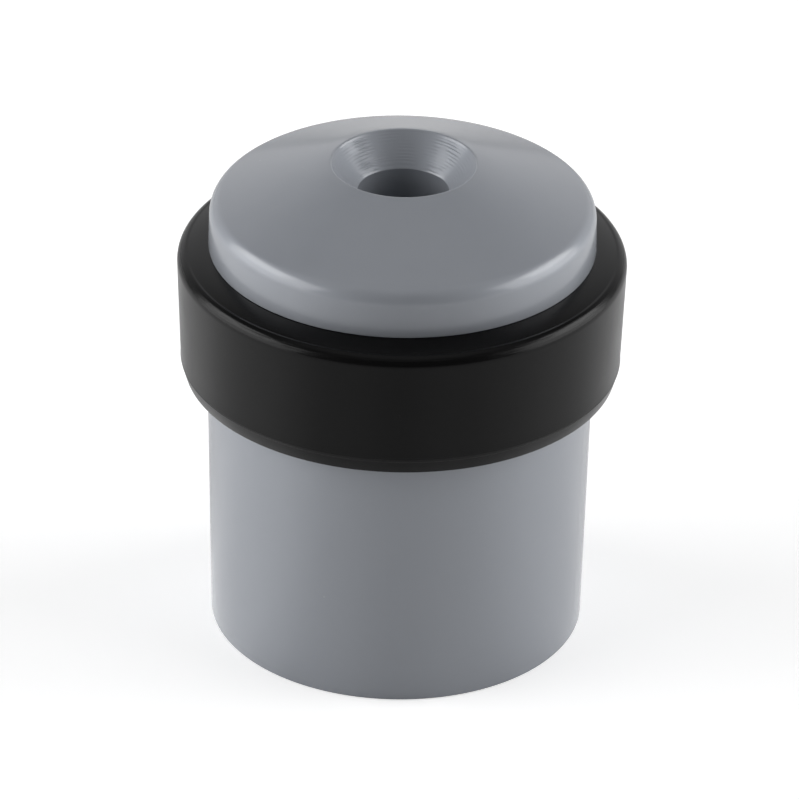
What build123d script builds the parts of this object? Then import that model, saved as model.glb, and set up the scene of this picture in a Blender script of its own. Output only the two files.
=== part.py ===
from build123d import *
from math import radians, tan
import os

# Round door stop, standing on its base with the axis along Z. All sizes are in mm and degrees.

# Barrel: the part below the ring, narrowing slightly towards the floor.
barrel_diameter = 30.0
barrel_height = 21.65
barrel_draft = 1.04
base_edge_radius = 0.12

# Groove that holds the ring between barrel and cap.
groove_floor_diameter = 23.0
groove_height = 10.7

# Cap: drafted wall, rounded shoulder and a shallow cone that rises to the screw hole.
cap_diameter = 29.9
cap_draft = 1.3
cap_wall_height = 3.45
cap_shoulder_radius = 1.37
cap_slope = 21.2

# Screw hole along the axis: a clearance bore for a 6 mm screw and the countersink for its head.
bore_diameter = 7.0
bore_foot_chamfer = 0.4
countersink_diameter = 11.2
countersink_angle = 82.3
countersink_rim_radius = 0.12
bore_mouth_radius = 0.1

# Rubber ring: a top that falls away from the cap, a rounded edge, a drafted wall that is widest at the top,
# and a narrower band that leads in to the barrel. Its diameter and fall meet at the corner that is rounded.
ring_diameter = 34.77
ring_top_fall = 0.77
ring_edge_radius = 1.0
ring_wall_draft = 2.05
ring_band_height = 1.3
ring_band_draft = 14.2
ring_foot_radius = 0.12

# Clearance left all round where the ring sits in its groove.
ring_seat_clearance = 0.02


def rounded(section, corner, radius):
    """Round the corner of a flat section that lies nearest to the given point."""
    nearest = section.vertices().sort_by_distance(corner)[0]
    return fillet(nearest, radius)


def turned(section):
    """Turn a half section, drawn in the XZ plane, once round the Z axis."""
    return revolve(section, axis=Axis.Z)


def on_section(radius, height):
    """Point of a half section at a distance from the axis and a height above the floor."""
    return Vector(radius, 0, height)


# Radii of the body, from the floor up.
barrel_radius = barrel_diameter / 2
foot_radius = barrel_radius - barrel_height * tan(radians(barrel_draft))
groove_floor_radius = groove_floor_diameter / 2
cap_radius = cap_diameter / 2
shoulder_radius = cap_radius - cap_wall_height * tan(radians(cap_draft))
rim_radius = countersink_diameter / 2
bore_radius = bore_diameter / 2

# Heights of the body, from the floor up.
groove_top = barrel_height + groove_height
shoulder_height = groove_top + cap_wall_height
rim_height = shoulder_height + (shoulder_radius - rim_radius) * tan(radians(cap_slope))
bore_mouth_height = rim_height - (rim_radius - bore_radius) / tan(radians(countersink_angle / 2))

# Body: the half section of the outside, before the groove and the hole are taken out of it.
foot_corner = on_section(foot_radius, 0)
shoulder_corner = on_section(shoulder_radius, shoulder_height)
section = make_face(
    Polyline(
        on_section(0, 0),
        foot_corner,
        on_section(barrel_radius, barrel_height),
        on_section(cap_radius, groove_top),
        shoulder_corner,
        on_section(0, shoulder_height + shoulder_radius * tan(radians(cap_slope))),
        close=True,
    )
)
section = rounded(section, foot_corner, base_edge_radius)
section = rounded(section, shoulder_corner, cap_shoulder_radius)

# The groove goes in from the side, down to its floor and out past barrel and cap.
groove_mouth_radius = barrel_radius + cap_radius
section -= make_face(
    Polyline(
        on_section(groove_floor_radius, barrel_height),
        on_section(groove_mouth_radius, barrel_height),
        on_section(groove_mouth_radius, groove_top),
        on_section(groove_floor_radius, groove_top),
        close=True,
    )
)

# The bore runs right through along the axis, with a chamfer at its foot and the countersink at its top.
overshoot = countersink_diameter
section -= make_face(
    Polyline(
        on_section(0, -bore_foot_chamfer),
        on_section(bore_radius + 2 * bore_foot_chamfer, -bore_foot_chamfer),
        on_section(bore_radius, bore_foot_chamfer),
        on_section(bore_radius, bore_mouth_height),
        on_section(rim_radius + overshoot * tan(radians(countersink_angle / 2)), rim_height + overshoot),
        on_section(0, rim_height + overshoot),
        close=True,
    )
)
section = rounded(section, on_section(rim_radius, rim_height), countersink_rim_radius)
section = rounded(section, on_section(bore_radius, bore_mouth_height), bore_mouth_radius)
body = turned(section)

# Ring: sits in the groove and stands out past barrel and cap.
ring_bore_radius = groove_floor_radius + ring_seat_clearance
ring_foot = barrel_height + ring_seat_clearance
ring_top = groove_top - ring_seat_clearance
ring_edge_height = ring_top - ring_top_fall
ring_radius = ring_diameter / 2
crease_height = ring_foot + ring_band_height
crease_radius = ring_radius - (ring_edge_height - crease_height) * tan(radians(ring_wall_draft))
ring_foot_outer = crease_radius - ring_band_height * tan(radians(ring_band_draft))

top_edge = on_section(ring_radius, ring_edge_height)
foot_edge = on_section(ring_foot_outer, ring_foot)
ring_section = make_face(
    Polyline(
        on_section(ring_bore_radius, ring_foot),
        foot_edge,
        on_section(crease_radius, crease_height),
        top_edge,
        on_section(cap_radius, ring_top),
        on_section(ring_bore_radius, ring_top),
        close=True,
    )
)
ring_section = rounded(ring_section, top_edge, ring_edge_radius)
ring_section = rounded(ring_section, foot_edge, ring_foot_radius)
rubber_ring = turned(ring_section)

os.makedirs("parts", exist_ok=True)
export_step(body, "parts/body.step")
export_step(rubber_ring, "parts/rubber_ring.step")
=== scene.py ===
"""The round door stop, dressed for its picture.

A lacquered metal post with a turned screw hole and a moulded rubber ring in its groove, on a pale floor.
Sizes of the two pieces are in millimetres, as on a drawing; meshes are in metres, in the frame of the CAD.
"""

import logging
import math
from dataclasses import dataclass
from enum import Enum

import bpy
from mathutils import Matrix, Vector


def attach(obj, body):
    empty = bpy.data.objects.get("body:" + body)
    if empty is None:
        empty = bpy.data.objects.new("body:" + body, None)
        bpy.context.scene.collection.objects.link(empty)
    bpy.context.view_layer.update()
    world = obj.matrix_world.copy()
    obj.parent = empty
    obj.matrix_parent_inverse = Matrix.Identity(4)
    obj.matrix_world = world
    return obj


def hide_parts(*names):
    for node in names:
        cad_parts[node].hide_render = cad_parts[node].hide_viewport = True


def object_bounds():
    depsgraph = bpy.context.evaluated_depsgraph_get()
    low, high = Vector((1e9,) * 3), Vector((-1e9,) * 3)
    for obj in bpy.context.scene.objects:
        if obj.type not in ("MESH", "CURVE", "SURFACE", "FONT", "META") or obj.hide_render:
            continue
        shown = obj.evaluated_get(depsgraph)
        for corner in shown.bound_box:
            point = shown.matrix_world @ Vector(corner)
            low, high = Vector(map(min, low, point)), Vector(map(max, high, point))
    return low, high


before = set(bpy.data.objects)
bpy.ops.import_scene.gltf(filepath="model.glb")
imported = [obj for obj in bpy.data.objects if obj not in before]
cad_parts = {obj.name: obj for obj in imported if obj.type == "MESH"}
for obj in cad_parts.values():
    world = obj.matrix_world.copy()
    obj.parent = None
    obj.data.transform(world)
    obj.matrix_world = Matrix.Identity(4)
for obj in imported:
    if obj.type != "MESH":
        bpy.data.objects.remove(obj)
CAD_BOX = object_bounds()

MM = 0.001
Colour = tuple[float, float, float, float]
LOG = logging.getLogger("door_stop")


class Node(Enum):
    """The CAD nodes, which are also the record's material slots."""

    BODY = "body"
    RING = "rubber_ring"


class Rays(Enum):
    """Ray types that the studio paper tells apart."""

    CAMERA = "Is Camera Ray"
    GLOSSY = "Is Glossy Ray"
    TRANSMISSION = "Is Transmission Ray"


@dataclass(frozen=True)
class Corner:
    """One corner of a half section, in millimetres.

    radius and height place it, rounding is the radius of its edge and arc_steps the pieces of that arc.
    run_steps divides the straight run that leads on to the next corner.
    """

    radius: float
    height: float
    rounding: float = 0.0
    arc_steps: int = 6
    run_steps: int = 1

    def place(self) -> Vector:
        """Give the corner as a flat vector."""
        return Vector((self.radius, self.height))


@dataclass
class HalfSection:
    """A closed half section: out along the top, down the outside, in along the foot and up the inside."""

    corners: list[Corner]

    def points(self) -> list[tuple[float, float]]:
        """Lay out the rounded outline.

        Returns:
            Radius and height of each point, in millimetres.
        """
        found: list[tuple[float, float]] = []
        count = len(self.corners)
        for index, corner in enumerate(self.corners):
            after = self.corners[(index + 1) % count]
            found.extend(self._arc(self.corners[index - 1], corner, after))
            if corner.run_steps > 1:
                start = Vector(found[-1])
                end = self._arc_start(corner, after, self.corners[(index + 2) % count])
                for step in range(1, corner.run_steps):
                    found.append(tuple(start.lerp(end, step / corner.run_steps)))
        return found

    @staticmethod
    def _arc_reach(before: Corner, corner: Corner, after: Corner) -> float:
        """Give the distance from a corner to each end of its arc.

        Args:
            before: The corner before it.
            corner: The corner itself.
            after: The corner after it.

        Returns:
            The length along each side, in millimetres.
        """
        turn = (corner.place() - before.place()).angle(after.place() - corner.place())
        return corner.rounding * math.tan(turn / 2)

    def _arc_start(self, before: Corner, corner: Corner, after: Corner) -> Vector:
        """Find where the arc of a corner begins.

        Args:
            before: The corner before it.
            corner: The corner itself.
            after: The corner after it.

        Returns:
            The first point of the arc, or the corner where it is sharp.
        """
        here = corner.place()
        return here + (before.place() - here).normalized() * self._arc_reach(before, corner, after)

    def _arc(self, before: Corner, corner: Corner, after: Corner) -> list[tuple[float, float]]:
        """Round one corner.

        Args:
            before: The corner before it.
            corner: The corner itself.
            after: The corner after it.

        Returns:
            The points of the arc, or the corner alone where it is sharp.
        """
        here = corner.place()
        if corner.rounding <= 0:
            return [tuple(here)]
        length = self._arc_reach(before, corner, after)
        start = self._arc_start(before, corner, after)
        end = here + (after.place() - here).normalized() * length
        middle = ((start + end) / 2 - here).normalized()
        centre = here + middle * math.hypot(length, corner.rounding)
        first = start - centre
        sweep = first.angle_signed(end - centre)
        return [
            tuple(centre + Matrix.Rotation(-sweep * step / corner.arc_steps, 2) @ first)
            for step in range(corner.arc_steps + 1)
        ]

    def mesh(self, name: str) -> bpy.types.Mesh:
        """Draw the section as a closed chain of edges in the XZ plane.

        Args:
            name: The name of the mesh.

        Returns:
            The mesh, in metres.
        """
        points = [(radius * MM, 0.0, height * MM) for radius, height in self.points()]
        edges = [(index, (index + 1) % len(points)) for index in range(len(points))]
        mesh = bpy.data.meshes.new(name)
        mesh.from_pydata(points, edges, [])
        return mesh


class TreeBuilder:
    """Small helpers to add nodes and links to a node tree."""

    def __init__(self, tree: bpy.types.NodeTree) -> None:
        """Keep the tree that is built."""
        self.tree = tree

    def add(self, kind: str, **settings: object) -> bpy.types.Node:
        """Add a node.

        Args:
            kind: Blender's name of the node type.
            settings: Properties of the node, such as its operation.

        Returns:
            The new node.
        """
        node = self.tree.nodes.new(kind)
        for name, value in settings.items():
            setattr(node, name, value)
        return node

    def plug(self, value: object, socket: bpy.types.NodeSocket) -> None:
        """Link a socket to an input, or set the input where the value is plain.

        Args:
            value: An output socket, a number, a vector or a colour.
            socket: The input.
        """
        if isinstance(value, bpy.types.NodeSocket):
            self.tree.links.new(value, socket)
        else:
            socket.default_value = value

    def math(self, operation: str, *values: object, kind: str = "ShaderNodeMath") -> bpy.types.NodeSocket:
        """Add a math node.

        Args:
            operation: The operation, such as MULTIPLY.
            values: Its inputs in order.
            kind: The node type, for scalar or vector math.

        Returns:
            The output that carries the result.
        """
        node = self.add(kind, operation=operation)
        for value, socket in zip(values, node.inputs):
            self.plug(value, socket)
        live = [socket for socket in node.outputs if socket.enabled]
        return live[0]

    def between(self, value: object, low: object, high: object, soft: float) -> bpy.types.NodeSocket:
        """Build a mask that is 0 outside two limits and climbs towards 1 inside them.

        Args:
            value: The measured value.
            low: The lower limit.
            high: The upper limit.
            soft: How far inside each limit it reaches 1.

        Returns:
            The mask.
        """
        up = self.math("DIVIDE", self.math("SUBTRACT", value, low), soft)
        down = self.math("DIVIDE", self.math("SUBTRACT", high, value), soft)
        both = self.math("MINIMUM", up, down)
        return self.math("MINIMUM", self.math("MAXIMUM", both, 0.0), 1.0)

    def from_axis(self, parts: bpy.types.Node) -> bpy.types.NodeSocket:
        """Measure the distance from the upright axis.

        Args:
            parts: The node that splits a place into X, Y and Z.

        Returns:
            The distance.
        """
        across = self.math("POWER", parts.outputs["X"], 2.0)
        along = self.math("POWER", parts.outputs["Y"], 2.0)
        return self.math("SQRT", self.math("ADD", across, along))

    def climb(self, value: object, low: float, high: float) -> bpy.types.NodeSocket:
        """Build a smooth climb from 0 to 1 between two limits.

        Args:
            value: The measured value.
            low: Where the climb starts.
            high: Where it ends.

        Returns:
            The climb.
        """
        node = self.add("ShaderNodeMapRange", interpolation_type="SMOOTHSTEP")
        self.plug(value, node.inputs["Value"])
        node.inputs["From Min"].default_value = low
        node.inputs["From Max"].default_value = high
        return node.outputs["Result"]

    def tint(self, low: object, high: object, factor: object) -> bpy.types.NodeSocket:
        """Blend two colours by a mask.

        Args:
            low: The colour where the mask is 0.
            high: The colour where the mask is 1.
            factor: The mask.

        Returns:
            The blended colour.
        """
        node = self.add("ShaderNodeMix", data_type="RGBA")
        self.plug(factor, node.inputs["Factor"])
        for name, colour in (("A", low), ("B", high)):
            self.plug(colour, [s for s in node.inputs if s.name == name and s.type == "RGBA"][0])
        return [s for s in node.outputs if s.type == "RGBA"][0]


def start_group(name: str, numbers: dict[str, float], outputs: tuple[str, ...]) -> TreeBuilder:
    """Start a shader node group that reads a place and some numbers.

    Args:
        name: The name of the group.
        numbers: Its number inputs, with their defaults.
        outputs: The names of its outputs.

    Returns:
        The builder of the group's tree.
    """
    tree = bpy.data.node_groups.new(name, "ShaderNodeTree")
    tree.interface.new_socket("Vector", in_out="INPUT", socket_type="NodeSocketVector")
    for label, default in numbers.items():
        socket = tree.interface.new_socket(label, in_out="INPUT", socket_type="NodeSocketFloat")
        socket.default_value = default
    for label in outputs:
        tree.interface.new_socket(label, in_out="OUTPUT", socket_type="NodeSocketFloat")
    return TreeBuilder(tree)


class LatheTree:
    """Geometry Nodes that turn a half section round the axis and cut fine marks into part of it.

    The marks are waves along the height, between two levels. A slow noise lets their spacing stray, and a
    patchy one varies their depth. A place's aside value is 0 straight ahead or behind and 1 straight left or
    right. Between the two aside limits the depth climbs to its full value, and elsewhere it is ASIDE_LEAST
    of that. ALL_ROUND holds limits that leave it full everywhere. Lengths are in metres.
    """

    NAME = "Lathe"
    BAND_FADE = 0.00012
    DRIFT_PACE = 0.37
    DRIFT_DETAIL = 1.0
    PATCH_SCALE = 700.0
    PATCH_DETAIL = 2.0
    PATCH_FLOOR = 0.40
    PATCH_GAIN = 6.5
    PATCH_LEAST = 0.05
    PATCH_MOST = 1.5
    ASIDE_FADE = 0.25
    ASIDE_LEAST = 0.2
    ALL_ROUND = (-0.5, 2.0)
    SOCKETS = (
        ("Segments", "NodeSocketInt", 256),
        ("Sweep Radius", "NodeSocketFloat", 0.01),
        ("Marks From", "NodeSocketFloat", 0.0),
        ("Marks To", "NodeSocketFloat", 0.0),
        ("Marks Within", "NodeSocketFloat", 0.0),
        ("Marks Pitch", "NodeSocketFloat", 0.0002),
        ("Marks Depth", "NodeSocketFloat", 0.0),
        ("Marks Unevenness", "NodeSocketFloat", 0.5),
        ("Marks Aside From", "NodeSocketFloat", 0.0),
        ("Marks Aside To", "NodeSocketFloat", 2.0),
        ("Seed", "NodeSocketFloat", 1.0),
        ("Finish", "NodeSocketMaterial", None),
    )

    def __init__(self) -> None:
        """Build the tree."""
        self.tree = bpy.data.node_groups.new(self.NAME, "GeometryNodeTree")
        self.make = TreeBuilder(self.tree)
        face = self.tree.interface
        face.new_socket("Geometry", in_out="INPUT", socket_type="NodeSocketGeometry")
        for name, kind, default in self.SOCKETS:
            socket = face.new_socket(name, in_out="INPUT", socket_type=kind)
            if default is not None:
                socket.default_value = default
        face.new_socket("Geometry", in_out="OUTPUT", socket_type="NodeSocketGeometry")
        self._lay()

    def _lay(self) -> None:
        """Lay the nodes: section, sweep, marks, shading, finish."""
        make, link = self.make, self.tree.links.new
        given = make.add("NodeGroupInput").outputs
        section = make.add("GeometryNodeMeshToCurve")
        link(given["Geometry"], section.inputs["Mesh"])
        flat = make.add("GeometryNodeTransform")
        link(section.outputs["Curve"], flat.inputs["Geometry"])
        flat.inputs["Rotation"].default_value = (math.pi / 2, 0.0, 0.0)
        shift = make.add("ShaderNodeCombineXYZ")
        link(make.math("MULTIPLY", given["Sweep Radius"], -1.0), shift.inputs["X"])
        link(shift.outputs["Vector"], flat.inputs["Translation"])
        path = make.add("GeometryNodeCurvePrimitiveCircle")
        link(given["Segments"], path.inputs["Resolution"])
        link(given["Sweep Radius"], path.inputs["Radius"])
        swept = make.add("GeometryNodeCurveToMesh")
        link(path.outputs["Curve"], swept.inputs["Curve"])
        link(flat.outputs["Geometry"], swept.inputs["Profile Curve"])
        marked = make.add("GeometryNodeSetPosition")
        link(swept.outputs["Mesh"], marked.inputs["Geometry"])
        link(self._marks(given), marked.inputs["Offset"])
        smooth = make.add("GeometryNodeSetShadeSmooth")
        link(marked.outputs["Geometry"], smooth.inputs["Geometry"])
        real = make.add("GeometryNodeRealizeInstances")
        link(smooth.outputs["Geometry"], real.inputs["Geometry"])
        finish = make.add("GeometryNodeSetMaterial")
        link(real.outputs["Geometry"], finish.inputs["Geometry"])
        link(given["Finish"], finish.inputs["Material"])
        out = make.add("NodeGroupOutput")
        link(finish.outputs["Geometry"], out.inputs["Geometry"])

    def _marks(self, given: bpy.types.bpy_prop_collection) -> bpy.types.NodeSocket:
        """Work out how far each point moves for the turning marks.

        Args:
            given: The inputs of the tree.

        Returns:
            The offset along the surface's normal.
        """
        make, link = self.make, self.tree.links.new
        place = make.add("GeometryNodeInputPosition").outputs["Position"]
        parts = make.add("ShaderNodeSeparateXYZ")
        link(place, parts.inputs["Vector"])
        height = parts.outputs["Z"]
        away = make.from_axis(parts)
        within = make.math("LESS_THAN", away, given["Marks Within"])
        band = make.between(height, given["Marks From"], given["Marks To"], self.BAND_FADE)
        turns = make.math("DIVIDE", height, given["Marks Pitch"])
        drift = make.add("ShaderNodeTexNoise", noise_dimensions="1D")
        pace = make.math("MULTIPLY", turns, self.DRIFT_PACE)
        link(make.math("ADD", pace, given["Seed"]), drift.inputs["W"])
        drift.inputs["Scale"].default_value = 1.0
        drift.inputs["Detail"].default_value = self.DRIFT_DETAIL
        stray = make.math("MULTIPLY", drift.outputs["Fac"], given["Marks Unevenness"])
        phase = make.math("ADD", turns, stray)
        wave = make.math("COSINE", make.math("MULTIPLY", phase, 2 * math.pi))
        patch = make.add("ShaderNodeTexNoise", noise_dimensions="4D")
        link(place, patch.inputs["Vector"])
        link(given["Seed"], patch.inputs["W"])
        patch.inputs["Scale"].default_value = self.PATCH_SCALE
        patch.inputs["Detail"].default_value = self.PATCH_DETAIL
        inward = make.math("MULTIPLY", make.math("SUBTRACT", wave, 1.0), 0.5)
        uneven = make.math("SUBTRACT", patch.outputs["Fac"], self.PATCH_FLOOR)
        uneven = make.math("MULTIPLY", uneven, self.PATCH_GAIN)
        uneven = make.math("MINIMUM", make.math("MAXIMUM", uneven, self.PATCH_LEAST), self.PATCH_MOST)
        depth = make.math("MULTIPLY", make.math("MULTIPLY", inward, uneven), given["Marks Depth"])
        depth = make.math("MULTIPLY", make.math("MULTIPLY", depth, band), within)
        aside = make.math("DIVIDE", make.math("ABSOLUTE", parts.outputs["X"]), away)
        share = make.between(aside, given["Marks Aside From"], given["Marks Aside To"], self.ASIDE_FADE)
        depth = make.math("MULTIPLY", depth, make.math("MAXIMUM", share, self.ASIDE_LEAST))
        normal = make.add("GeometryNodeInputNormal").outputs["Normal"]
        scaled = make.add("ShaderNodeVectorMath", operation="SCALE")
        link(normal, scaled.inputs["Vector"])
        link(depth, scaled.inputs["Scale"])
        return scaled.outputs["Vector"]

    def turn(self, name: str, section: HalfSection, values: dict[str, object]) -> bpy.types.Object:
        """Turn a half section into a finished plain mesh.

        Args:
            name: The name of the piece.
            section: Its half section.
            values: The tree's inputs by name.

        Returns:
            The piece, at the origin and with no modifier left on it.
        """
        piece = bpy.data.objects.new(name, section.mesh(name + "_section"))
        bpy.context.scene.collection.objects.link(piece)
        lathe = piece.modifiers.new(self.NAME, "NODES")
        lathe.node_group = self.tree
        sockets = {
            item.name: item.identifier
            for item in self.tree.interface.items_tree
            if item.item_type == "SOCKET" and item.in_out == "INPUT"
        }
        for label, value in values.items():
            lathe[sockets[label]] = value
        view = bpy.context.evaluated_depsgraph_get()
        turned = bpy.data.meshes.new_from_object(piece.evaluated_get(view))
        piece.modifiers.remove(lathe)
        piece.data = turned
        turned.name = name
        return piece


class GrainGroup:
    """Shader group: the fine unevenness of a sprayed or moulded skin.

    Its roughness runs from low to high as the broad mottle goes from MOTTLE_LOW to MOTTLE_HIGH.
    """

    NAME = "Skin Grain"
    FINE_DETAIL = 3.0
    BROAD_DETAIL = 2.0
    MOTTLE_LOW = 0.3
    MOTTLE_HIGH = 0.7

    def __init__(self) -> None:
        """Build the group with its named inputs and outputs."""
        make = start_group(self.NAME, {
            "Fine Scale": 4000.0, "Broad Scale": 500.0, "Broad Share": 0.5,
            "Roughness Low": 0.3, "Roughness High": 0.5,
        }, ("Height", "Roughness", "Mottle"))
        self.tree = make.tree
        link = self.tree.links.new
        given = make.add("NodeGroupInput").outputs
        fine = make.add("ShaderNodeTexNoise")
        broad = make.add("ShaderNodeTexNoise")
        for noise, scale, detail in (
            (fine, "Fine Scale", self.FINE_DETAIL),
            (broad, "Broad Scale", self.BROAD_DETAIL),
        ):
            link(given["Vector"], noise.inputs["Vector"])
            link(given[scale], noise.inputs["Scale"])
            noise.inputs["Detail"].default_value = detail
        blend = make.add("ShaderNodeMix", data_type="FLOAT")
        link(given["Broad Share"], blend.inputs["Factor"])
        link(fine.outputs["Fac"], blend.inputs["A"])
        link(broad.outputs["Fac"], blend.inputs["B"])
        rough = make.add("ShaderNodeMapRange")
        link(broad.outputs["Fac"], rough.inputs["Value"])
        rough.inputs["From Min"].default_value = self.MOTTLE_LOW
        rough.inputs["From Max"].default_value = self.MOTTLE_HIGH
        link(given["Roughness Low"], rough.inputs["To Min"])
        link(given["Roughness High"], rough.inputs["To Max"])
        out = make.add("NodeGroupOutput").inputs
        link(blend.outputs["Result"], out["Height"])
        link(rough.outputs["Result"], out["Roughness"])
        link(broad.outputs["Fac"], out["Mottle"])


class SpeckGroup:
    """Shader group: sparse small specks, such as dust nibs in lacquer or lint on rubber."""

    NAME = "Fine Specks"

    def __init__(self) -> None:
        """Build the group with its named inputs and outputs."""
        make = start_group(self.NAME, {"Scale": 600.0, "Size": 0.12, "Share": 0.1}, ("Mask",))
        self.tree = make.tree
        link = self.tree.links.new
        given = make.add("NodeGroupInput").outputs
        cells = make.add("ShaderNodeTexVoronoi", feature="F1")
        link(given["Vector"], cells.inputs["Vector"])
        link(given["Scale"], cells.inputs["Scale"])
        shade = make.add("ShaderNodeSeparateColor")
        link(cells.outputs["Color"], shade.inputs["Color"])
        chosen = make.math("LESS_THAN", shade.outputs["Red"], given["Share"])
        near = make.math("SUBTRACT", 1.0, make.math("DIVIDE", cells.outputs["Distance"], given["Size"]))
        near = make.math("MAXIMUM", near, 0.0)
        link(make.math("MULTIPLY", near, chosen), make.add("NodeGroupOutput").inputs["Mask"])


class HoleGroup:
    """Shader group: finds the turned face of the countersink, close to the axis and high up."""

    NAME = "Turned Hole"
    FADE = 0.0001
    FAR = 1.0

    def __init__(self) -> None:
        """Build the group with its named inputs and outputs."""
        make = start_group(self.NAME, {"Radius": 0.0055, "Depth From": 0.037}, ("Mask",))
        self.tree = make.tree
        link = self.tree.links.new
        given = make.add("NodeGroupInput").outputs
        parts = make.add("ShaderNodeSeparateXYZ")
        link(given["Vector"], parts.inputs["Vector"])
        near = make.between(make.from_axis(parts), -self.FAR, given["Radius"], self.FADE)
        high = make.between(parts.outputs["Z"], given["Depth From"], self.FAR, self.FADE)
        link(make.math("MULTIPLY", near, high), make.add("NodeGroupOutput").inputs["Mask"])


class LineGroup:
    """Shader group: a thin level line round the axis, used to paint a highlight line along the rubber's
    crease.
    """

    NAME = "Level Line"

    def __init__(self) -> None:
        """Build the group with its named inputs and outputs."""
        make = start_group(self.NAME, {"Height": 0.02, "Half Width": 0.0001}, ("Mask",))
        self.tree = make.tree
        link = self.tree.links.new
        given = make.add("NodeGroupInput").outputs
        parts = make.add("ShaderNodeSeparateXYZ")
        link(given["Vector"], parts.inputs["Vector"])
        off = make.math("ABSOLUTE", make.math("SUBTRACT", parts.outputs["Z"], given["Height"]))
        near = make.math("SUBTRACT", 1.0, make.math("DIVIDE", off, given["Half Width"]))
        link(make.math("MAXIMUM", near, 0.0), make.add("NodeGroupOutput").inputs["Mask"])


class FinishBuilder:
    """Starts a material and places the shared groups in it."""

    def __init__(self, name: str) -> None:
        """Make the material, its shader and the object coordinates.

        Args:
            name: The name of the material.
        """
        self.material = bpy.data.materials.new(name)
        self.material.use_nodes = True
        self.tree = self.material.node_tree
        self.make = TreeBuilder(self.tree)
        self.shader = self.tree.nodes["Principled BSDF"]
        self.place = self.make.add("ShaderNodeTexCoord").outputs["Object"]

    def group(self, tree: bpy.types.NodeTree, **values: float) -> bpy.types.Node:
        """Place a shared group with its own values.

        Args:
            tree: The group's tree.
            values: Its inputs, with underscores for spaces.

        Returns:
            The group node.
        """
        node = self.make.add("ShaderNodeGroup", node_tree=tree)
        self.tree.links.new(self.place, node.inputs["Vector"])
        for name, value in values.items():
            node.inputs[name.replace("_", " ")].default_value = value
        return node

    def bump(self, height: object, strength: float, distance: float) -> None:
        """Feed a height to the shader's normal.

        Args:
            height: The height, from 0 to 1.
            strength: The strength of the bump.
            distance: The real height that 1 stands for, in metres.
        """
        node = self.make.add("ShaderNodeBump")
        node.inputs["Strength"].default_value = strength
        node.inputs["Distance"].default_value = distance
        self.make.plug(height, node.inputs["Height"])
        self.tree.links.new(node.outputs["Normal"], self.shader.inputs["Normal"])


@dataclass(frozen=True)
class GreyLacquer:
    """Mid grey metallic lacquer: a broad flake sheen under a clear satin coat, weaker in the screw hole.

    The hole's sizes and the bump's height are in millimetres.
    """

    colour: Colour = (0.304, 0.321, 0.352, 1.0)
    colour_thin: Colour = (0.324, 0.341, 0.372, 1.0)
    colour_nib: Colour = (0.39, 0.405, 0.43, 1.0)
    roughness_low: float = 0.57
    roughness_high: float = 0.63
    flake: float = 0.42
    specular: float = 0.0
    coat: float = 0.95
    coat_in_hole: float = 0.36
    coat_roughness: float = 0.17
    hole_radius: float = 5.5
    hole_from: float = 37.1
    fine_scale: float = 5200.0
    broad_scale: float = 620.0
    broad_share: float = 0.6
    nib_scale: float = 900.0
    nib_size: float = 0.10
    nib_share: float = 0.03
    nib_rise: float = 0.8
    bump_strength: float = 0.25
    bump_height: float = 0.012

    def build(self, grain: GrainGroup, specks: SpeckGroup, holes: HoleGroup) -> bpy.types.Material:
        """Build the material.

        Args:
            grain: The grain group.
            specks: The speck group.
            holes: The group that finds the turned hole.

        Returns:
            The lacquer.
        """
        finish = FinishBuilder("satin_grey_lacquer")
        make, shader = finish.make, finish.shader
        skin = finish.group(
            grain.tree, Fine_Scale=self.fine_scale, Broad_Scale=self.broad_scale,
            Broad_Share=self.broad_share,
            Roughness_Low=self.roughness_low, Roughness_High=self.roughness_high,
        )
        nibs = finish.group(specks.tree, Scale=self.nib_scale, Size=self.nib_size, Share=self.nib_share)
        colour = make.tint(self.colour, self.colour_thin, skin.outputs["Mottle"])
        colour = make.tint(colour, self.colour_nib, nibs.outputs["Mask"])
        make.plug(colour, shader.inputs["Base Color"])
        make.plug(skin.outputs["Roughness"], shader.inputs["Roughness"])
        shader.inputs["Metallic"].default_value = self.flake
        shader.inputs["Specular IOR Level"].default_value = self.specular
        hole = finish.group(holes.tree, Radius=self.hole_radius * MM, Depth_From=self.hole_from * MM)
        thinner = make.math("MULTIPLY", hole.outputs["Mask"], self.coat - self.coat_in_hole)
        make.plug(make.math("SUBTRACT", self.coat, thinner), shader.inputs["Coat Weight"])
        shader.inputs["Coat Roughness"].default_value = self.coat_roughness
        raised = make.math("MULTIPLY", nibs.outputs["Mask"], self.nib_rise)
        height = make.math("ADD", skin.outputs["Height"], raised)
        finish.bump(height, self.bump_strength, self.bump_height * MM)
        return finish.material


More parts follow.
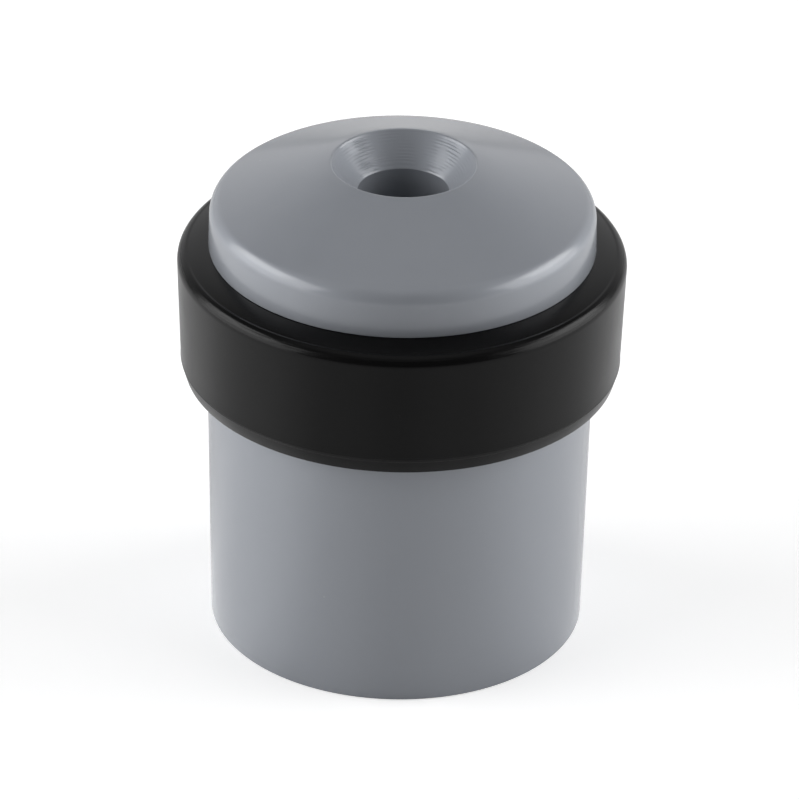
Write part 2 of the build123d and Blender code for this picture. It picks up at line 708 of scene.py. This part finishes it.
@dataclass(frozen=True)
class MouldedRubber:
    """Black moulded rubber with a dull bloom, and a paler line at its crease that is a painted highlight
    along the moulding bead.

    The line's sizes and the bump's height are in millimetres.
    """

    colour: Colour = (0.0022, 0.0022, 0.0023, 1.0)
    colour_bloom: Colour = (0.0036, 0.0036, 0.0037, 1.0)
    colour_lint: Colour = (0.05, 0.05, 0.05, 1.0)
    # Painted highlight: the paler colour of the line along the crease.
    colour_crease_highlight: Colour = (0.022, 0.022, 0.022, 1.0)
    roughness_low: float = 0.21
    roughness_high: float = 0.26
    specular: float = 0.19
    crease_highlight_height: float = 22.82
    crease_highlight_half_width: float = 0.16
    fine_scale: float = 6500.0
    broad_scale: float = 260.0
    broad_share: float = 0.35
    lint_scale: float = 700.0
    lint_size: float = 0.09
    lint_share: float = 0.05
    bump_strength: float = 0.35
    bump_height: float = 0.02

    def build(self, grain: GrainGroup, specks: SpeckGroup, lines: LineGroup) -> bpy.types.Material:
        """Build the material.

        Args:
            grain: The grain group.
            specks: The speck group.
            lines: The group that draws the painted highlight line at the crease.

        Returns:
            The rubber.
        """
        finish = FinishBuilder("black_moulded_rubber")
        make, shader = finish.make, finish.shader
        skin = finish.group(
            grain.tree, Fine_Scale=self.fine_scale, Broad_Scale=self.broad_scale,
            Broad_Share=self.broad_share,
            Roughness_Low=self.roughness_low, Roughness_High=self.roughness_high,
        )
        lint = finish.group(specks.tree, Scale=self.lint_scale, Size=self.lint_size, Share=self.lint_share)
        line = finish.group(lines.tree, Height=self.crease_highlight_height * MM, Half_Width=self.crease_highlight_half_width * MM)
        colour = make.tint(self.colour, self.colour_bloom, skin.outputs["Mottle"])
        colour = make.tint(colour, self.colour_lint, lint.outputs["Mask"])
        # Painted highlight: a paler line round the crease, where the moulding bead would catch the light.
        colour = make.tint(colour, self.colour_crease_highlight, line.outputs["Mask"])
        make.plug(colour, shader.inputs["Base Color"])
        make.plug(skin.outputs["Roughness"], shader.inputs["Roughness"])
        shader.inputs["Specular IOR Level"].default_value = self.specular
        finish.bump(skin.outputs["Height"], self.bump_strength, self.bump_height * MM)
        return finish.material


@dataclass(frozen=True)
class StudioPaper:
    """Pale paper of the studio floor.

    The camera sees it white, with the object's shadow kept. All other rays see it darker ahead of the
    object, a painted shade, and reflections see it glow at both sides, a painted reflection. Angles are in
    degrees round the object. The fade ahead is wider than its reach, so that mask peaks at reach / fade and
    the paper stays paler than its shaded colour ahead.
    """

    colour: Colour = (0.88, 0.88, 0.88, 1.0)
    colour_painted_shade_ahead: Colour = (0.60, 0.60, 0.60, 1.0)
    glow: float = 0.42
    glow_left: float = 0.45
    glow_right: float = 0.32
    roughness: float = 0.9
    ahead_reach: float = 20.0
    ahead_fade: float = 35.0
    left_from: float = -130.0
    left_to: float = -35.0
    left_fade: float = 25.0
    right_from: float = 35.0
    right_to: float = 145.0
    right_fade: float = 35.0

    def build(self) -> bpy.types.Material:
        """Build the material.

        Returns:
            The paper.
        """
        material = bpy.data.materials.new("studio_paper")
        material.use_nodes = True
        make = TreeBuilder(material.node_tree)
        shader = material.node_tree.nodes["Principled BSDF"]
        shader.inputs["Roughness"].default_value = self.roughness
        shader.inputs["Specular IOR Level"].default_value = 0.0
        shader.inputs["Emission Color"].default_value = (1.0, 1.0, 1.0, 1.0)
        rays = make.add("ShaderNodeLightPath").outputs
        turn = self._turn(make)
        # Painted shade: all rays but the camera's see the paper darker ahead of the object.
        ahead = self._sector(make, turn, -self.ahead_reach, self.ahead_reach, self.ahead_fade)
        ahead = make.math("MULTIPLY", ahead, make.math("SUBTRACT", 1.0, rays[Rays.CAMERA.value]))
        make.plug(make.tint(self.colour, self.colour_painted_shade_ahead, ahead), shader.inputs["Base Color"])
        seen = make.math("MAXIMUM", rays[Rays.CAMERA.value], rays[Rays.TRANSMISSION.value])
        seen = make.math("MULTIPLY", seen, self.glow)
        # Painted reflection: for glossy rays only, the paper glows at both sides of the object though it is
        # no lamp.
        mirrored = make.math("MULTIPLY", rays[Rays.GLOSSY.value], self._side_glow(make, turn))
        make.plug(make.math("ADD", seen, mirrored), shader.inputs["Emission Strength"])
        return material

    @staticmethod
    def _turn(make: TreeBuilder) -> bpy.types.NodeSocket:
        """Work out the direction from the object to each spot of the paper.

        Args:
            make: The builder of the paper's tree.

        Returns:
            The angle round the object, 0 in front of it and positive to the right, in radians.
        """
        place = make.add("ShaderNodeSeparateXYZ")
        make.plug(make.add("ShaderNodeTexCoord").outputs["Object"], place.inputs["Vector"])
        return make.math("ARCTAN2", place.outputs["X"], make.math("MULTIPLY", place.outputs["Y"], -1.0))

    @staticmethod
    def _sector(make: TreeBuilder, turn: bpy.types.NodeSocket, low: float, high: float,
                fade: float) -> bpy.types.NodeSocket:
        """Mask a sector of the paper.

        Args:
            make: The builder of the paper's tree.
            turn: The angle round the object.
            low: Where the sector starts, in degrees.
            high: Where it ends, in degrees.
            fade: The width of its soft edges, in degrees.

        Returns:
            The mask.
        """
        return make.between(turn, math.radians(low), math.radians(high), math.radians(fade))

    def _side_glow(self, make: TreeBuilder, turn: bpy.types.NodeSocket) -> bpy.types.NodeSocket:
        """Work out the paper's glow in reflections: bright beside the object and none in front of it.

        Args:
            make: The builder of the paper's tree.
            turn: The angle round the object.

        Returns:
            The strength of the glow.
        """
        left = self._sector(make, turn, self.left_from, self.left_to, self.left_fade)
        right = self._sector(make, turn, self.right_from, self.right_to, self.right_fade)
        return make.math("ADD", make.math("MULTIPLY", left, self.glow_left),
                         make.math("MULTIPLY", right, self.glow_right))


@dataclass
class LacqueredPost:
    """The cast post: drafted barrel, groove, cap with rounded shoulder and cone, and the turned screw hole.

    The marks of the cutter are deepest on the four diagonals, and faint straight ahead, behind, left and
    right. Sizes are in millimetres.
    """

    barrel_radius: float = 15.0
    barrel_height: float = 21.65
    foot_radius: float = 14.607
    groove_floor_radius: float = 11.5
    groove_top: float = 32.35
    cap_radius: float = 14.95
    shoulder_radius: float = 14.872
    shoulder_height: float = 35.8
    shoulder_rounding: float = 1.37
    rim_radius: float = 5.6
    rim_height: float = 39.396
    rim_rounding: float = 0.18
    bore_radius: float = 3.5
    bore_mouth_height: float = 36.993
    bore_mouth_rounding: float = 0.14
    bore_foot_chamfer: float = 0.4
    foot_rounding: float = 0.12
    groove_edge_rounding: float = 0.06
    mark_pitch: float = 0.20
    mark_depth: float = 0.032
    mark_unevenness: float = 0.8
    marks_below_rim: float = 0.15
    marks_inside_rim: float = 0.05
    marks_aside_from: float = 0.38
    marks_aside_to: float = 0.98
    mark_seed: float = 4.0
    segments: int = 288

    def section(self) -> HalfSection:
        """Lay out the half section.

        Returns:
            The section of the post.
        """
        return HalfSection([
            Corner(self.rim_radius, self.rim_height, self.rim_rounding, run_steps=6),
            Corner(self.shoulder_radius, self.shoulder_height, self.shoulder_rounding,
                   arc_steps=18, run_steps=2),
            Corner(self.cap_radius, self.groove_top, self.groove_edge_rounding, arc_steps=3),
            Corner(self.groove_floor_radius, self.groove_top),
            Corner(self.groove_floor_radius, self.barrel_height),
            Corner(self.barrel_radius, self.barrel_height, self.groove_edge_rounding,
                   arc_steps=3, run_steps=6),
            Corner(self.foot_radius, 0.0, self.foot_rounding, arc_steps=8),
            Corner(self.bore_radius + self.bore_foot_chamfer, 0.0),
            Corner(self.bore_radius, self.bore_foot_chamfer, run_steps=8),
            Corner(self.bore_radius, self.bore_mouth_height, self.bore_mouth_rounding, run_steps=130),
        ])

    def build(self, lathe: LatheTree, finish: bpy.types.Material) -> bpy.types.Object:
        """Turn the post and seat it on the CAD node.

        Args:
            lathe: The lathe tree.
            finish: The lacquer.

        Returns:
            The post.
        """
        piece = lathe.turn("lacquered_post", self.section(), {
            "Segments": self.segments,
            "Sweep Radius": self.groove_floor_radius * MM,
            "Marks From": self.bore_mouth_height * MM,
            "Marks To": (self.rim_height - self.marks_below_rim) * MM,
            "Marks Within": (self.rim_radius - self.marks_inside_rim) * MM,
            "Marks Pitch": self.mark_pitch * MM,
            "Marks Depth": self.mark_depth * MM,
            "Marks Unevenness": self.mark_unevenness,
            "Marks Aside From": self.marks_aside_from,
            "Marks Aside To": self.marks_aside_to,
            "Seed": self.mark_seed,
            "Finish": finish,
        })
        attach(piece, "root")
        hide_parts(Node.BODY.value)
        return piece


@dataclass
class RubberRing:
    """The buffer ring: a falling top with a fine step, a rounded edge, a drafted wall and a foot band.

    A fine bead runs along the crease between wall and band, and uneven marks along the top edge.
    Sizes are in millimetres.
    """

    bore_radius: float = 11.52
    foot_height: float = 21.67
    foot_radius: float = 16.75
    foot_rounding: float = 0.12
    crease_height: float = 22.80
    crease_radius: float = 17.07
    edge_radius: float = 17.376
    edge_height: float = 31.56
    edge_rounding: float = 0.95
    lip_foot_radius: float = 16.54
    lip_foot_height: float = 31.825
    lip_radius: float = 16.70
    lip_height: float = 31.816
    lip_foot_rounding: float = 0.12
    lip_rounding: float = 0.10
    cap_radius: float = 14.95
    top_height: float = 32.33
    seam_proud: float = 0.02
    seam_rise: float = 0.06
    seam_rounding: float = 0.02
    edge_mark_pitch: float = 0.13
    edge_mark_depth: float = 0.010
    edge_mark_unevenness: float = 0.6
    marks_below_edge: float = 0.30
    marks_above_edge: float = 0.12
    marks_reach: float = 1.0
    mark_seed: float = 9.0
    segments: int = 288

    def section(self) -> HalfSection:
        """Lay out the half section.

        Returns:
            The section of the ring.
        """
        return HalfSection([
            Corner(self.bore_radius, self.top_height),
            Corner(self.cap_radius, self.top_height),
            Corner(self.lip_foot_radius, self.lip_foot_height, self.lip_foot_rounding, arc_steps=4),
            Corner(self.lip_radius, self.lip_height, self.lip_rounding, arc_steps=5),
            Corner(self.edge_radius, self.edge_height, self.edge_rounding, arc_steps=48, run_steps=6),
            Corner(self.crease_radius, self.crease_height + self.seam_rise, self.seam_rounding,
                   arc_steps=3),
            Corner(self.crease_radius + self.seam_proud, self.crease_height, self.seam_rounding,
                   arc_steps=4),
            Corner(self.foot_radius, self.foot_height, self.foot_rounding, arc_steps=4),
            Corner(self.bore_radius, self.foot_height),
        ])

    def build(self, lathe: LatheTree, finish: bpy.types.Material) -> bpy.types.Object:
        """Turn the ring and seat it on the CAD node.

        Args:
            lathe: The lathe tree.
            finish: The rubber.

        Returns:
            The ring.
        """
        piece = lathe.turn("buffer_ring", self.section(), {
            "Segments": self.segments,
            "Sweep Radius": self.bore_radius * MM,
            "Marks From": (self.edge_height - self.marks_below_edge) * MM,
            "Marks To": (self.edge_height + self.marks_above_edge) * MM,
            "Marks Within": (self.edge_radius + self.marks_reach) * MM,
            "Marks Pitch": self.edge_mark_pitch * MM,
            "Marks Depth": self.edge_mark_depth * MM,
            "Marks Unevenness": self.edge_mark_unevenness,
            "Marks Aside From": lathe.ALL_ROUND[0],
            "Marks Aside To": lathe.ALL_ROUND[1],
            "Seed": self.mark_seed,
            "Finish": finish,
        })
        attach(piece, "root")
        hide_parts(Node.RING.value)
        return piece


@dataclass(frozen=True)
class SoftBox:
    """One soft box, aimed at the object. Angles are in degrees round the object, lengths in metres."""

    name: str
    azimuth: float
    elevation: float
    width: float
    height: float
    level: float
    distance: float = 0.75

    def place(self, target: Vector) -> bpy.types.Object:
        """Hang the soft box.

        Args:
            target: The point that it faces.

        Returns:
            The lamp.
        """
        lamp = bpy.data.lights.new(self.name, "AREA")
        lamp.shape = "RECTANGLE"
        lamp.size = self.width
        lamp.size_y = self.height
        lamp.energy = self.level * math.pi * self.width * self.height
        box = bpy.data.objects.new(self.name, lamp)
        bpy.context.scene.collection.objects.link(box)
        turn, rise = math.radians(self.azimuth), math.radians(self.elevation)
        away = Vector((math.sin(turn) * math.cos(rise), -math.cos(turn) * math.cos(rise), math.sin(rise)))
        box.location = target + away * self.distance
        box.rotation_euler = away.to_track_quat("Z", "Y").to_euler()
        box.visible_camera = False
        return box


@dataclass(frozen=True)
class PhotoCamera:
    """The photograph's viewpoint, in millimetres and degrees."""

    away: float = 473.12
    height: float = 289.70
    pitch: float = 29.829
    roll: float = 1.0642
    lens: float = 314.589
    sensor: float = 36.0
    near: float = 10.0
    far: float = 20000.0

    def place(self) -> bpy.types.Object:
        """Set up the scene's camera.

        Returns:
            The camera.
        """
        data = bpy.data.cameras.new("photo_camera")
        data.sensor_width = self.sensor
        data.lens = self.lens
        data.clip_start = self.near * MM
        data.clip_end = self.far * MM
        camera = bpy.data.objects.new("photo_camera", data)
        bpy.context.scene.collection.objects.link(camera)
        pitch, roll = math.radians(self.pitch), math.radians(self.roll)
        ahead = Vector((0.0, math.cos(pitch), -math.sin(pitch)))
        right = Vector((1.0, 0.0, 0.0))
        up = right.cross(ahead)
        turned_right = right * math.cos(roll) + up * math.sin(roll)
        turned_up = up * math.cos(roll) - right * math.sin(roll)
        turn = Matrix((turned_right, turned_up, -ahead)).transposed()
        place = Vector((0.0, -self.away, self.height)) * MM
        camera.matrix_world = Matrix.Translation(place) @ turn.to_4x4()
        bpy.context.scene.camera = camera
        return camera


@dataclass
class Studio:
    """Floor, soft boxes, room light and camera."""

    floor_radius: float = 4.0
    floor_sides: int = 96
    boxes: tuple[SoftBox, ...] = (
        SoftBox("box_left", azimuth=-84.0, elevation=20.0, width=0.92, height=0.60, level=2.45),
        SoftBox("box_left_heart", azimuth=-92.0, elevation=33.0, width=0.50, height=0.36, level=2.0),
        SoftBox("box_right", azimuth=90.0, elevation=20.0, width=0.80, height=0.60, level=2.55),
        SoftBox("box_right_heart", azimuth=100.0, elevation=33.0, width=0.44, height=0.36, level=2.1),
    )
    paper: StudioPaper = StudioPaper()
    room_low: Colour = (0.08, 0.08, 0.081, 1.0)
    room_high: Colour = (0.45, 0.45, 0.454, 1.0)
    room_back: Colour = (0.80, 0.80, 0.81, 1.0)
    ceiling_from: float = 0.80
    ceiling_to: float = 0.97
    back_from: float = 0.45
    back_to: float = 0.95
    camera: PhotoCamera = PhotoCamera()

    def lay_floor(self) -> bpy.types.Object:
        """Lay the round floor.

        Returns:
            The floor.
        """
        turns = [2 * math.pi * step / self.floor_sides for step in range(self.floor_sides)]
        reach = self.floor_radius
        rim = [(reach * math.cos(turn), reach * math.sin(turn), 0.0) for turn in turns]
        mesh = bpy.data.meshes.new("floor")
        mesh.from_pydata(rim, [], [tuple(range(self.floor_sides))])
        mesh.materials.append(self.paper.build())
        floor = bpy.data.objects.new("floor", mesh)
        bpy.context.scene.collection.objects.link(floor)
        return floor

    def light_room(self) -> None:
        """Give the room dim walls, a paler ceiling right above and a bright backdrop behind the object."""
        world = bpy.data.worlds.new("room")
        bpy.context.scene.world = world
        world.use_nodes = True
        make = TreeBuilder(world.node_tree)
        parts = make.add("ShaderNodeSeparateXYZ")
        make.plug(make.add("ShaderNodeTexCoord").outputs["Generated"], parts.inputs["Vector"])
        overhead = make.climb(parts.outputs["Z"], self.ceiling_from, self.ceiling_to)
        behind = make.climb(parts.outputs["Y"], self.back_from, self.back_to)
        shade = make.tint(make.tint(self.room_low, self.room_high, overhead), self.room_back, behind)
        ground = world.node_tree.nodes["Background"]
        make.plug(shade, ground.inputs["Color"])
        ground.inputs["Strength"].default_value = 1.0

    def build(self, target: Vector) -> None:
        """Set up the whole studio.

        Args:
            target: The point that the soft boxes face.
        """
        bpy.context.scene.view_settings.view_transform = "Standard"
        self.lay_floor()
        self.light_room()
        for box in self.boxes:
            box.place(target)
        self.camera.place()


def main() -> None:
    """Build the finishes, the two pieces and the studio, and report each piece."""
    logging.basicConfig(level=logging.INFO, format="%(name)s: %(message)s")
    grain, specks, lathe = GrainGroup(), SpeckGroup(), LatheTree()
    post = LacqueredPost().build(lathe, GreyLacquer().build(grain, specks, HoleGroup()))
    LOG.info("%s: %d faces", post.name, len(post.data.polygons))
    ring = RubberRing().build(lathe, MouldedRubber().build(grain, specks, LineGroup()))
    LOG.info("%s: %d faces", ring.name, len(ring.data.polygons))
    low, high = CAD_BOX
    Studio().build((low + high) / 2)


if __name__ == "__main__":
    main()
